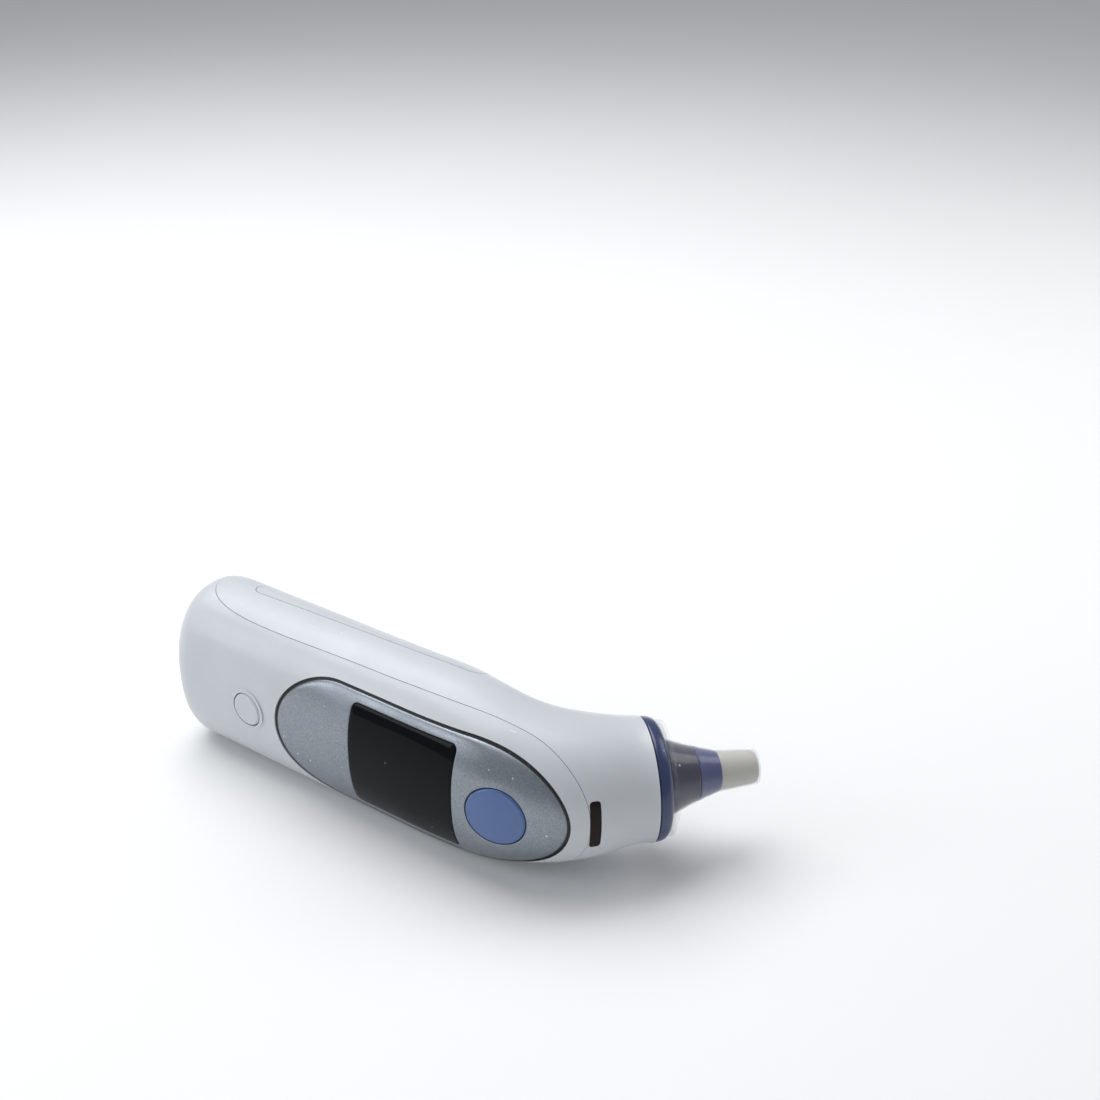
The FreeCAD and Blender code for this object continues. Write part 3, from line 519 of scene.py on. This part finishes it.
# the oval drawn in by some distance, in three runs: straight sides with half an ellipse between them, the
# chord across the oval, and half an ellipse at the head end
def ovalParts(inset):
    endRound, headRound = panel["rounds"]
    endCount, chordCount, headCount = panel["counts"]
    half = panel["half"] - inset
    endX, chordX = panel["start"] + endRound, panel["chord"]
    straight = endCount // 3
    endTurn = np.linspace(math.pi / 2, 3 * math.pi / 2, endCount - 2 * straight)
    headTurn = np.linspace(-math.pi / 2, math.pi / 2, headCount)
    upperX = np.linspace(chordX, endX, straight, endpoint=False)
    lowerX = endX + (chordX - endX) * (np.arange(straight) + 1) / straight
    end = np.vstack([
        np.column_stack([upperX, np.full(straight, half)]),
        np.column_stack([endX + (endRound - inset) * np.cos(endTurn), half * np.sin(endTurn)]),
        np.column_stack([lowerX, np.full(straight, -half)]),
    ])
    chord = np.column_stack([np.full(chordCount, chordX), np.linspace(-half, half, chordCount)])
    head = np.column_stack([chordX + (headRound - inset) * np.cos(headTurn), half * np.sin(headTurn)])
    return end, chord, head


# directions from a middle to each point of a loop
def raysTo(loop, middle):
    return (loop - middle) / np.linalg.norm(loop - middle, axis=1)[:, None]


# where rays from the window's middle meet its rounded rectangle, grown by some distance: a side, or the
# circle of a corner, whose meeting point solves a quadratic
def windowLoop(ray, grow):
    x0, x1, half, corner = panel["window"]
    halfX, halfZ, corner = (x1 - x0) / 2 + grow, half + grow, corner + grow
    c, s = np.maximum(np.abs(ray), 1e-9).T    # never quite 0, to divide by
    reach = np.minimum(halfX / c, halfZ / s)
    kx, kz = halfX - corner, halfZ - corner
    inCorner = (reach * c > kx) & (reach * s > kz)
    along = c * kx + s * kz
    root = np.sqrt(np.maximum(along ** 2 - (kx ** 2 + kz ** 2 - corner ** 2), 0))
    return windowMiddle + np.where(inCorner, along + root, reach)[:, None] * ray


# part of the panel's face between a loop and a hole: rings at even shares of the straight lines between them,
# then the lip of the hole
def panelField(loop, hole):
    outs, downs = np.array(panel["holeLip"]).T
    share = np.linspace(0, 1, panel["rows"])[:, None, None]
    rings = np.concatenate([loop * (1 - share) + hole(outs[0]) * share, [hole(out) for out in outs[1:]]])
    sunk = np.concatenate([np.zeros(panel["rows"]), downs[1:]])
    return rings, sunk[:, None]


# the dish round the button: 3 s^2 - 2 s^3 of the nearness s to the hole, which is 0 beyond the dish
def dishDepth(rings):
    radius = np.linalg.norm(rings - startMiddle, axis=-1)
    nearness = np.clip(1 - (radius - panel["button"]) / panel["dishWide"], 0, 1)
    return panel["dish"] * nearness ** 2 * (3 - 2 * nearness)


# the panel: a bevelled rim round the oval, a field round the window's hole, and one round the button's hole
def makePanel():
    insets, downs = np.array(panel["bevel"]).T
    rims = []
    for inset in insets:
        end, chord, head = ovalParts(inset)
        rims.append(np.vstack([end, head[1:-1]]))
    windowOuter = np.vstack([end, chord[1:-1]])      # the last rim's own runs
    buttonOuter = np.vstack([head, chord[::-1][1:-1]])
    windowRay, buttonRay = raysTo(windowOuter, windowMiddle), raysTo(buttonOuter, startMiddle)
    windowRings, windowSunk = panelField(windowOuter,
                                         lambda out: windowLoop(windowRay, panel["windowGap"] + out))
    buttonRings, buttonSunk = panelField(buttonOuter,
                                         lambda out: startMiddle + buttonRay * (panel["button"] + out))
    grids = [
        layOn(panelFront, rims, downs),
        layOn(panelFront, windowRings, windowSunk),
        layOn(panelFront, buttonRings, buttonSunk + dishDepth(buttonRings)),
    ]
    piece = addPiece("displayPanel", grids, "body", "silver", "display_panel", panel["sharp"])
    solid = piece.modifiers.new("thickness", "SOLIDIFY")
    solid.thickness = panel["thick"] * mm
    solid.offset = -1.0


makePanel()
print("panel done")

window = {
    "gap": 0.02, "bevel": [(0.0, 0.9), (0.0, 0.2), (0.1, 0.08), (0.3, 0.04)],   # in, down
    "rows": 24, "columns": 480,
    "under": (0.9, 1.2),                      # depth of the underside at its rim and at its middle
}


# the window: rings of a rounded rectangle that shrink to its middle by even shares, and an underside
def makeWindow():
    ray = circle(window["columns"])
    insets, downs = np.array(window["bevel"]).T
    rings = [windowLoop(ray, -window["gap"] - inset) for inset in insets]
    edge, shares = rings[-1], np.linspace(1, 0, window["rows"])[1:]
    rings += [windowMiddle + (edge - windowMiddle) * share for share in shares]
    depths = np.concatenate([downs, np.full(len(shares), downs[-1])])
    under = [rings[0], np.broadcast_to(windowMiddle, rings[0].shape)]
    addPiece("displayWindow", [layOn(panelFront, rings, depths), layOn(panelFront, under, window["under"])],
             "body", "window", "display_window")


makeWindow()

buttons = {
    "start_button": {
        "name": "startButton", "slot": "blue_button", "height": panelFront,
        "x": placing["startX"], "radius": 7.5, "proud": 0.12, "bottom": 4.6,
        "rim": [(1.0, 4.0), (1.0, 0.6), (0.99, 0.42), (0.975, 0.3), (0.945, 0.17), (0.93, 0.15),
                (0.915, 0.165), (0.9, 0.2)],      # share of the radius, down
    },
    "memory_button": {
        "name": "memoryButton", "slot": "white", "height": memoryFront,
        "x": placing["memoryX"], "radius": 4.5, "proud": 0.6, "bottom": 2.4,
        "rim": [(1.0, 2.2), (1.0, 0.6), (0.975, 0.3), (0.93, 0.1), (0.87, 0.0), (0.8, 0.0)],
    },
}
buttonGrid = {"columns": 144, "rows": 14, "stem": (2.2, 5.2)}   # stem: radius, bottom


# a push button's cap: rings at shares of its radius that follow the front, each with its own drop, and under
# them a flat bottom and a stem
def makeButton(node, kit):
    ray = circle(buttonGrid["columns"])
    middle = np.array([kit["x"], 0.0])
    shares, drops = np.array(kit["rim"]).T
    inner = np.linspace(shares[-1], 0, buttonGrid["rows"])[1:]
    shares = np.concatenate([shares, inner])[:, None, None]
    drops = np.concatenate([drops, np.full(len(inner), drops[-1])])
    cap = layOn(kit["height"], middle + ray * kit["radius"] * shares, drops - kit["proud"])
    stem, stemBottom = buttonGrid["stem"]
    below = [(kit["radius"], kit["bottom"]), (stem, kit["bottom"]), (stem, stemBottom), (0.0, stemBottom)]
    flat = [np.column_stack([middle[0] + ray[:, 0] * radius, np.full(len(ray), depth), ray[:, 1] * radius])
            for radius, depth in below]
    addPiece(kit["name"], [np.concatenate([cap[::-1], inFrame(flat)])], node, kit["slot"], node)


for node, kit in buttons.items():
    makeButton(node, kit)
print("window and buttons done")

grips = {
    "first": 24.5, "step": 2.4, "reach": (5.0, 6.5, 7.2, 7.2, 6.5, 5.0),   # half length of each rib
    "half": 0.6, "high": 0.35,
    "blunt": 6,                               # a higher power makes the ends blunter
    "rows": 41, "columns": 14,
}


# thumb ribs on the battery door: rods whose share along runs as a sine from -1 to 1, and whose elliptic
# section has the size sqrt(1 - share^6), so that both ends close
def makeGrips():
    doorBack = fitSide(["battery_door"], sunk=[0.0], degreeX=6, degreeZ=5, facing=1)
    ray = circle(grips["columns"])
    share = np.sin(np.linspace(-math.pi / 2, math.pi / 2, grips["rows"]))[:, None]
    size = np.sqrt(np.clip(1 - share ** grips["blunt"], 0, 1))
    ribs = []
    for k, reach in enumerate(grips["reach"]):
        x = grips["first"] + grips["step"] * k + grips["half"] * size * ray[:, 0]
        z = np.broadcast_to(share * reach, x.shape)
        y = doorBack(x, z) + grips["high"] * size * ray[:, 1]
        ribs.append(inFrame(np.stack([x, y, z], -1)))
    addPiece("doorGrips", ribs, "battery_door", "white")


makeGrips()
print("door grips done")

probe = {
    "columns": 160,
    "parts": {                                # node, body, slot, rounding of corners, profile (along, radius)
        "ejectorRing": ("ejector_ring", "ejector_ring", "blue_ring", 0.35, [
            (-8.0, 10.9), (-8.0, 11.8), (0.3, 11.8), (0.3, 14.95), (0.75, 15.05), (1.7, 14.95),
            (2.75, 14.6), (3.45, 13.9), (3.6, 13.4), (3.6, 11.9), (3.35, 11.6), (3.35, 10.9),
            (-8.0, 10.9)]),
        "probeNose": ("probe_nose", "body", "blue_nose", 0.3, [
            (-10.0, 0.0), (-10.0, 10.4), (-8.6, 10.4), (-8.6, 9.6), (-0.6, 9.6), (-0.6, 10.85),
            (3.0, 10.85), (3.2, 10.65), (3.2, 9.5), (5.0, 9.2), (7.3, 8.4), (9.8, 7.4), (11.9, 6.68),
            (12.3, 6.45), (12.3, 0.0)]),
        "noseBand": ("nose_band", "body", "blue_band", 0.25, [
            (12.3, 2.3), (12.3, 6.6), (12.7, 6.56), (14.0, 6.03), (17.6, 4.98), (18.0, 4.78),
            (18.0, 2.3), (12.3, 2.3)]),
        "probeTip": ("probe_tip", "body", "tip_white", 0.4, [
            (18.0, 2.3), (18.0, 4.72), (18.3, 4.76), (22.5, 4.42), (26.6, 4.06), (27.35, 3.75),
            (27.7, 3.1), (27.7, 2.5), (27.5, 2.3), (18.0, 2.3)]),
    },
}

# the turned parts of the probe, each along the probe's axis from the middle of the mouth
for name, (node, body, slot, rounding, profile) in probe["parts"].items():
    turnedPiece(name, rounded(profile, rounding), probeSeat, probe["columns"], body, slot, node)
print("probe done")

cover = {
    "columns": 240, "rounding": 0.3, "roundSteps": 4,
    "inner": [(5.0, 9.32), (7.3, 8.52), (9.8, 7.52), (14.0, 6.15), (18.0, 4.97), (27.6, 4.15)],
    "wall": (0.03, 0.2),                      # from the inner wall to the outer one: along, radius
    "film": [(27.82, 3.7), (27.82, 0.0), (27.94, 0.0), (27.97, 3.9)],
    "flangeBack": [(4.1, 14.0), (4.1, 13.2), (4.1, 12.2), (4.1, 11.2), (4.1, 9.7)],
    "flangeFront": [(4.7, 9.9), (4.7, 11.2), (4.7, 12.2), (4.7, 13.2), (5.05, 13.65), (4.9, 14.0),
                    (4.1, 14.0)],
    "looseFrom": 9.8, "looseOver": 2.6,       # the radius where the ripple starts, and how soon it is whole
    "ripples": [(5, 0.7, 1.0), (11, 2.1, 0.6)], "fineRipple": (23, 0.4),   # waves round, phase, share
    "rippleHigh": 0.1, "edgeWaves": (7, 1.3),
}


# the clear cover: a profile up the inner wall, over the film and down the outer one, turned round the probe;
# along and radius each gain a sum of sines of the turn, which fades in over the flange
def makeCover():
    outer = np.array(cover["inner"])[::-1] + cover["wall"]
    profile = np.vstack([cover["flangeBack"], cover["inner"], cover["film"], outer, cover["flangeFront"]])
    line = rounded(profile, cover["rounding"], cover["roundSteps"])
    turn = np.linspace(0, 2 * math.pi, cover["columns"], endpoint=False)
    along, radius = np.repeat(line[:, :1], len(turn), 1), np.repeat(line[:, 1:], len(turn), 1)
    loose = cover["rippleHigh"] * np.clip((radius - cover["looseFrom"]) / cover["looseOver"], 0, 1)
    fineWaves, fineShare = cover["fineRipple"]
    ripple = sum(share * np.sin(waves * turn + phase) for waves, phase, share in cover["ripples"])
    ripple = ripple + fineShare * np.sin(fineWaves * turn + radius)
    edgeWaves, edgePhase = cover["edgeWaves"]
    grid = turned(along + loose * ripple, radius + loose * np.sin(edgeWaves * turn + edgePhase),
                  probeSeat, cover["columns"])
    addPiece("probeCover", [grid], "probe_cover", "cover_clear", "probe_cover")


makeCover()
print("cover done")

cells = {
    "columns": 96, "rounding": 0.3, "depth": 19.9,
    "places": {"batteryLeft": ("battery_left", 30.65, 7.7, 1.0),    # node, flat end, z, way it points
               "batteryRight": ("battery_right", 77.35, -7.7, -1.0)},
    "profile": [(0.25, 0.0), (0.25, 5.6), (0.0, 6.2), (0.0, 6.9), (0.35, 7.23), (1.1, 7.25), (47.7, 7.25),
                (48.8, 7.0), (49.3, 6.35), (49.05, 5.2), (49.05, 3.0), (50.3, 2.75), (50.5, 2.45),
                (50.5, 0.0)],                 # along, radius
}

# dry cells: a wrapped can with rolled ends, a raised nub at one end and a flat dimple at the other
for name, (node, start, z, way) in cells["places"].items():
    seat = (inFrame([start, cells["depth"], z]), np.array([way, 0.0, 0.0]), np.array([0.0, 1.0, 0.0]),
            np.array([0.0, 0.0, 1.0]))
    turnedPiece(name, rounded(cells["profile"], cells["rounding"]), seat, cells["columns"], "body", "cell",
                node)
print("batteries done")

studio = {
    "floor": {"colour": (0.9, 0.9, 0.9), "rough": 0.9, "reach": 6.0, "drift": 0.98, "driftScale": 3.0},
    "worldColour": (0.93, 0.96, 1.0), "worldStrength": 0.36,
    "lamps": [                                # name, place, size, power, colour
        ("keyLamp", (-0.35, 0.1, 0.8), 0.8, 7.0, (0.98, 0.99, 1.0)),
        ("windowLamp", (-0.6, -0.7, 0.45), 0.5, 2.2, (0.95, 0.98, 1.0)),
        ("rimLamp", (0.35, 0.6, 0.5), 0.4, 1.0, (1.0, 1.0, 1.0)),
    ],
    "camera": {
        "place": (296.713, -224.559, 216.9),  # handle millimetres
        "turn": 0.6374, "rise": 0.4693, "roll": 0.0036,
        "lens": 50.82, "sensor": 36.0, "clip": (0.01, 20.0),
    },
}


def makeStage():
    look = studio["floor"]
    reach = look["reach"]
    mesh = bpy.data.meshes.new("floor")
    mesh.from_pydata([(-reach, -reach, 0), (reach, -reach, 0), (reach, reach, 0), (-reach, reach, 0)], [],
                     [(0, 1, 2, 3)])
    floor = bpy.data.objects.new("floor", mesh)
    bpy.context.scene.collection.objects.link(floor)
    material, tree, shader = startMaterial("floorPaper", look["colour"], look["rough"])
    drift = useGroup(tree, grainGroup, Drift_Scale=look["driftScale"]).outputs["Drift"]
    tone = mixColour(tree, drift, darker(look["colour"], look["drift"]), (*look["colour"], 1.0))
    tree.links.new(tone, shader.inputs["Base Color"])
    mesh.materials.append(material)


def makeLight():
    world = bpy.data.worlds.new("studio")
    world.use_nodes = True
    setInputs(world.node_tree.nodes["Background"], Color=(*studio["worldColour"], 1.0),
              Strength=studio["worldStrength"])
    bpy.context.scene.world = world
    for name, place, size, power, colour in studio["lamps"]:
        lamp = bpy.data.lights.new(name, "AREA")
        lamp.energy, lamp.size, lamp.color = power, size, colour
        holder = bpy.data.objects.new(name, lamp)
        holder.location = place
        holder.rotation_euler = Vector(place).to_track_quat("Z", "Y").to_euler()
        bpy.context.scene.collection.objects.link(holder)


def makeCamera():
    view = studio["camera"]
    lens = bpy.data.cameras.new("camera")
    lens.lens, lens.sensor_width = view["lens"], view["sensor"]
    lens.clip_start, lens.clip_end = view["clip"]
    camera = bpy.data.objects.new("camera", lens)
    camera.matrix_world = (Matrix.Translation(Vector(inFrame(view["place"])))
                           @ Matrix.Rotation(view["turn"], 4, "Z")
                           @ Matrix.Rotation(math.pi / 2 - view["rise"], 4, "X")
                           @ Matrix.Rotation(view["roll"], 4, "Z"))
    bpy.context.scene.collection.objects.link(camera)
    bpy.context.scene.camera = camera


makeStage()
makeLight()
makeCamera()
bpy.context.scene.view_settings.view_transform = "Standard"
print("stage done")
